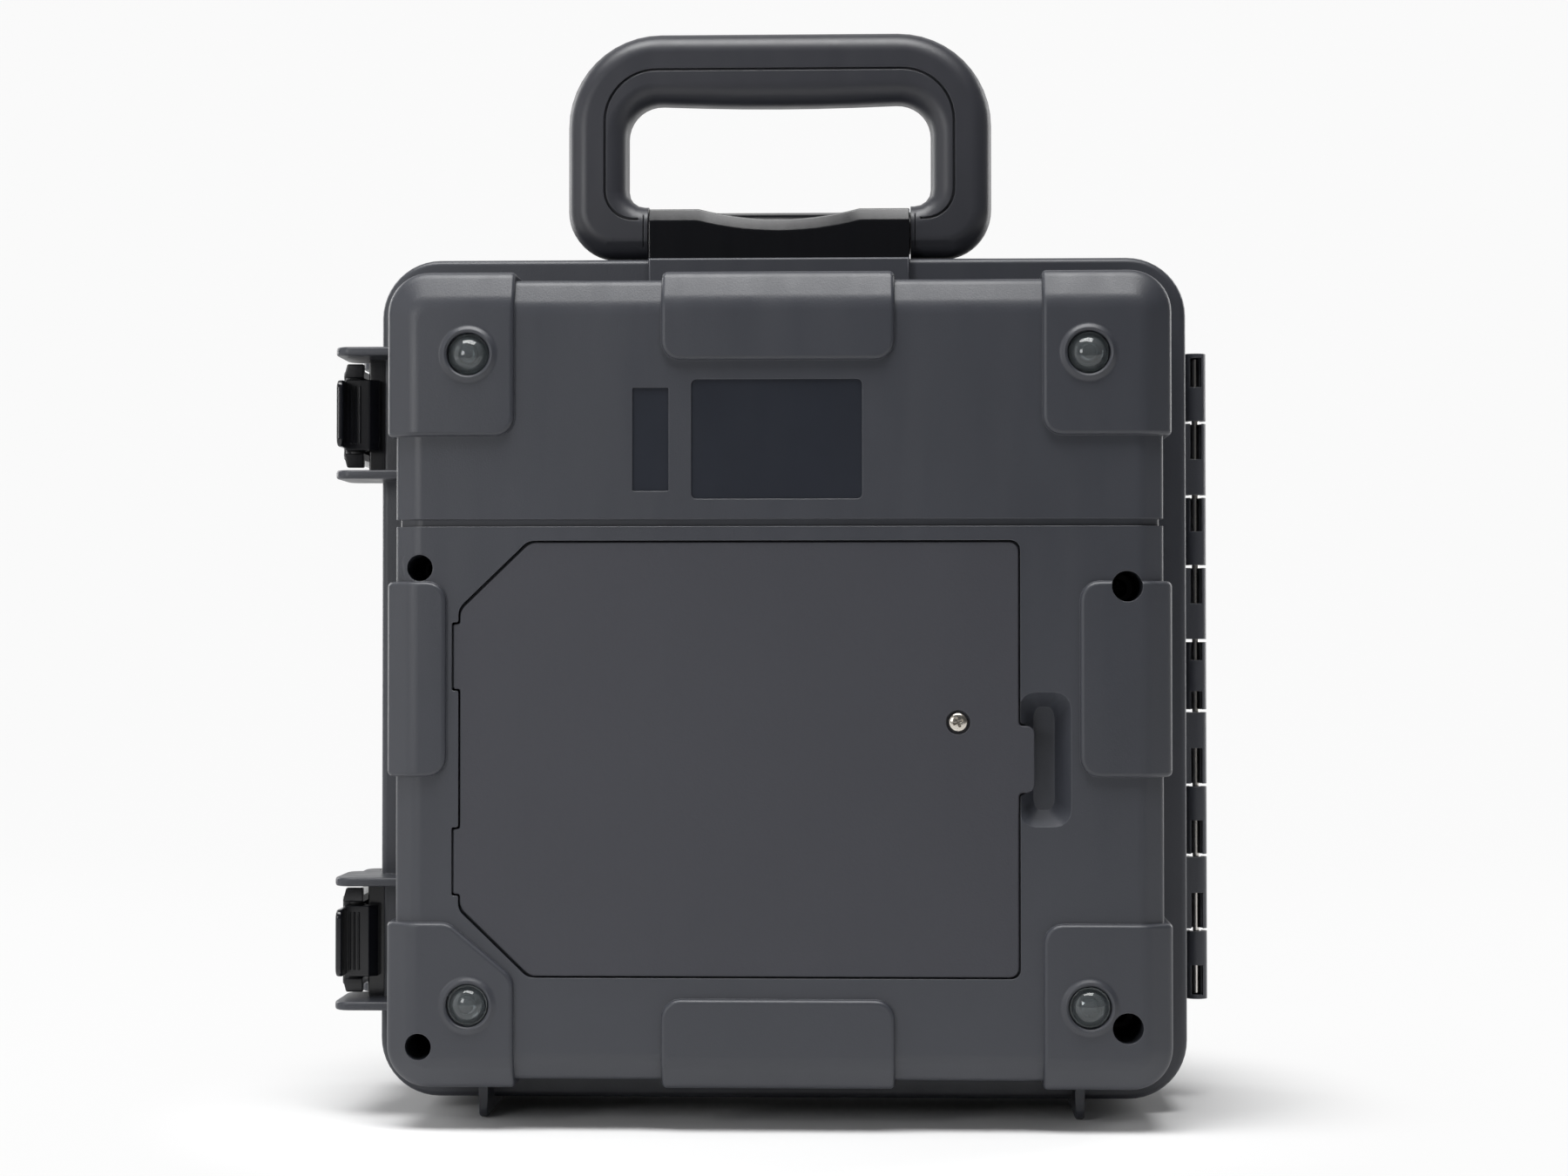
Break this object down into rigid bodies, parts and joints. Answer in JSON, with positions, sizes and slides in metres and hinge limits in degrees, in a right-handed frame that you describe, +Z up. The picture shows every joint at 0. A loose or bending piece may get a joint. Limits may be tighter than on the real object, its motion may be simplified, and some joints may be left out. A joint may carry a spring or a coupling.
{
  "type": "test instrument case",
  "caption": "Upright moulded hard case for a portable tester, with hinged lid, toggle latches, folding carry handle, battery cover on the back and an instrument panel under the lid.",
  "frame": {"origin": "middle of the footprint of the whole object, on the surface that it stands on", "axes": "+Z up through the carry handle, +X from the latches towards the hinge, +Y from the battery cover towards the lid"},
  "size_m": [0.2606, 0.1194, 0.3224],
  "materials": {
    "case_abs": "fine moulded texture",
    "cover_abs": "fine moulded texture",
    "dark_abs": "satin",
    "grip_abs": "satin",
    "gloss_abs": "polished",
    "panel_abs": "fine moulded texture",
    "key_rubber": "matte",
    "test_rubber": "matte",
    "seal_rubber": "matte",
    "clear_rubber": "clear, glossy",
    "nickel": "nickel plated",
    "stainless": "drawn wire",
    "board_laminate": "solder mask",
    "display_glass": "reflective liquid crystal",
    "window_pane": "clear",
    "cell_sleeve": "shrink sleeve",
    "socket_moulding": "moulded"
  },
  "bodies": {
    "base": {"base_shell": "case_abs", "rim_seal": "seal_rubber", "instrument_panel": "panel_abs", "circuit_board": "board_laminate", "display_module": "display_glass", "display_window": "window_pane", "terminal_socket_1": "socket_moulding", "terminal_socket_2": "socket_moulding", "terminal_socket_3": "socket_moulding", "battery_tray": "panel_abs", "contact_plate_left": "nickel", "contact_plate_right": "nickel", "battery_cell_1": "cell_sleeve", "battery_cell_2": "cell_sleeve", "battery_cell_3": "cell_sleeve", "battery_cell_4": "cell_sleeve", "battery_cell_5": "cell_sleeve", "battery_cell_6": "cell_sleeve", "rubber_foot_1": "clear_rubber", "rubber_foot_2": "clear_rubber", "rubber_foot_3": "clear_rubber", "rubber_foot_4": "clear_rubber", "case_screw_1": "nickel", "case_screw_2": "nickel", "case_screw_3": "nickel", "case_screw_4": "nickel", "handle_bracket": "gloss_abs", "handle_pin": "stainless"},
    "lid": {"lid_shell": "dark_abs", "hinge_pin": "stainless", "latch_pin_upper": "stainless", "latch_pin_lower": "stainless"},
    "latch_upper": {"latch_lever_upper": "dark_abs"},
    "latch_lower": {"latch_lever_lower": "dark_abs"},
    "handle": {"handle_shell": "grip_abs", "handle_grip": "grip_abs"},
    "cover": {"battery_cover": "cover_abs", "cover_screw": "nickel"},
    "knob": {"selector_knob": "dark_abs"},
    "test_key": {"test_button": "test_rubber"},
    "key_1": {"function_key_1": "key_rubber"},
    "key_2": {"function_key_2": "key_rubber"},
    "key_3": {"function_key_3": "key_rubber"},
    "key_4": {"function_key_4": "key_rubber"}
  },
  "joints": [
    {"name": "lid_hinge", "type": "hinge", "parent": "base", "child": "lid", "pos_m": [0.127, 0.01175, 0.1292], "axis": [0, 0, -1], "range_deg": [0, 180]},
    {"name": "latch_upper_pivot", "type": "hinge", "parent": "lid", "child": "latch_upper", "pos_m": [-0.1242, 0.02125, 0.2072], "axis": [0, 0, -1], "range_deg": [0, 110]},
    {"name": "latch_lower_pivot", "type": "hinge", "parent": "lid", "child": "latch_lower", "pos_m": [-0.1242, 0.02125, 0.0508], "axis": [0, 0, -1], "range_deg": [0, 110]},
    {"name": "handle_pivot", "type": "hinge", "parent": "base", "child": "handle", "pos_m": [0, -0.00925, 0.26255], "axis": [1, 0, 0], "range_deg": [-90, 90]},
    {"name": "cover_hinge", "type": "hinge", "parent": "base", "child": "cover", "pos_m": [-0.09155, -0.05565, 0.10615], "axis": [0, 0, -1], "range_deg": [0, 40]},
    {"name": "knob_turn", "type": "hinge", "parent": "base", "child": "knob", "pos_m": [0.0674, 0.0073, 0.104], "axis": [0, 1, 0], "range_deg": [-150, 150]},
    {"name": "test_press", "type": "slide", "parent": "base", "child": "test_key", "axis": [0, -1, 0], "range_m": [0, 0.0025], "stiffness_N_per_m": 800},
    {"name": "key_1_press", "type": "slide", "parent": "base", "child": "key_1", "axis": [0, -1, 0], "range_m": [0, 0.001], "stiffness_N_per_m": 600},
    {"name": "key_2_press", "type": "slide", "parent": "base", "child": "key_2", "axis": [0, -1, 0], "range_m": [0, 0.001], "stiffness_N_per_m": 600},
    {"name": "key_3_press", "type": "slide", "parent": "base", "child": "key_3", "axis": [0, -1, 0], "range_m": [0, 0.001], "stiffness_N_per_m": 600},
    {"name": "key_4_press", "type": "slide", "parent": "base", "child": "key_4", "axis": [0, -1, 0], "range_m": [0, 0.001], "stiffness_N_per_m": 600}
  ]
}
